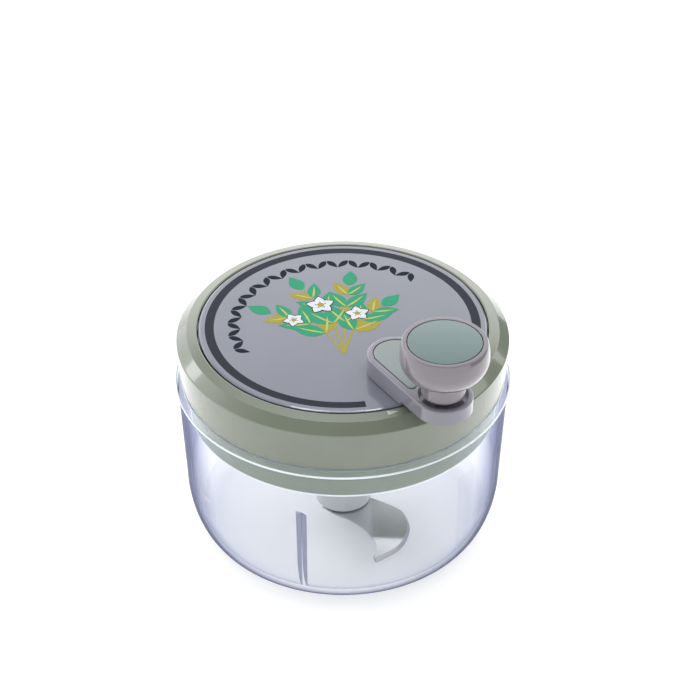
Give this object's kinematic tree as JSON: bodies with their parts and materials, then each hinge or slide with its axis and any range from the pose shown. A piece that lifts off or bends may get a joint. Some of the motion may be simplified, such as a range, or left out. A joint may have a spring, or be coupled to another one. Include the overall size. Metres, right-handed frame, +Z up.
{
  "type": "manual food chopper",
  "caption": "Hand-cranked food chopper: clear ribbed bowl, geared lid with a folding crank arm and knob, and a hanging unit of curved blades.",
  "frame": {"origin": "centre of the bowl's flat underside", "axes": "+Z up along the crank and blade axis, -Y towards the front, where the picture was taken"},
  "size_m": [0.1284, 0.1344, 0.1212],
  "materials": {
    "clear_plastic": "clear moulded plastic",
    "sage_plastic": "glossy sage green",
    "grey_plastic": "glossy lavender grey",
    "teal_plastic": "glossy grey teal",
    "gear_plastic": "natural acetal",
    "hub_plastic": "light grey, satin",
    "seal_rubber": "pale silicone",
    "pin_steel": "turned",
    "bush_brass": "turned",
    "blade_steel": "satin stainless"
  },
  "bodies": {
    "bowl": {"bowl": "clear_plastic"},
    "lid": {"sealing_ring": "seal_rubber", "lid_base": "sage_plastic", "lid_cover": "sage_plastic", "drive_bush": "bush_brass", "idler_pin_1": "pin_steel", "idler_pin_2": "pin_steel", "idler_pin_3": "pin_steel", "lid_screw_1": "pin_steel", "lid_screw_2": "pin_steel", "lid_screw_3": "pin_steel"},
    "crank": {"crank_disc": "grey_plastic", "ring_gear": "gear_plastic", "ring_screw_1": "pin_steel", "ring_screw_2": "pin_steel", "ring_screw_3": "pin_steel", "arm_pivot_pin": "pin_steel"},
    "arm": {"crank_arm": "grey_plastic", "arm_inlay": "sage_plastic", "knob_pin": "pin_steel"},
    "knob": {"knob_body": "grey_plastic", "knob_cap": "teal_plastic"},
    "idler_1": {"idler_gear_1": "gear_plastic"},
    "idler_2": {"idler_gear_2": "gear_plastic"},
    "idler_3": {"idler_gear_3": "gear_plastic"},
    "blade_unit": {"sun_gear": "gear_plastic", "blade_spindle": "hub_plastic", "blade_lower": "blade_steel", "blade_middle": "blade_steel", "blade_upper": "blade_steel", "blade_cap": "hub_plastic"}
  },
  "joints": [
    {"name": "lid_lift", "type": "slide", "parent": "bowl", "child": "lid", "axis": [0, 0, 1], "range_m": [0, 0.09]},
    {"name": "crank_spin", "type": "hinge", "parent": "lid", "child": "crank", "pos_m": [0, 0, 0.0901], "axis": [0, 0, 1], "continuous": true},
    {"name": "arm_fold", "type": "hinge", "parent": "crank", "child": "arm", "pos_m": [0.01949, -0.02955, 0.0901], "axis": [0, 0, 1], "range_deg": [0, 180]},
    {"name": "knob_spin", "type": "hinge", "parent": "arm", "child": "knob", "pos_m": [0.03573, -0.05418, 0.0981], "axis": [0, 0, 1], "continuous": true},
    {"name": "idler_1_spin", "type": "hinge", "parent": "lid", "child": "idler_1", "pos_m": [0, 0.0252, 0.0731], "axis": [0, 0, 1], "continuous": true},
    {"name": "idler_2_spin", "type": "hinge", "parent": "lid", "child": "idler_2", "pos_m": [-0.02182, -0.0126, 0.0731], "axis": [0, 0, 1], "continuous": true},
    {"name": "idler_3_spin", "type": "hinge", "parent": "lid", "child": "idler_3", "pos_m": [0.02182, -0.0126, 0.0731], "axis": [0, 0, 1], "continuous": true},
    {"name": "blade_spin", "type": "hinge", "parent": "lid", "child": "blade_unit", "pos_m": [0, 0, 0.0064], "axis": [0, 0, 1], "continuous": true}
  ],
  "couplings": [
    {"joint": "idler_1_spin", "follows": "crank_spin", "ratio": 2.7143},
    {"joint": "idler_2_spin", "follows": "crank_spin", "ratio": 2.7143},
    {"joint": "idler_3_spin", "follows": "crank_spin", "ratio": 2.7143},
    {"joint": "blade_spin", "follows": "crank_spin", "ratio": -3.8}
  ]
}
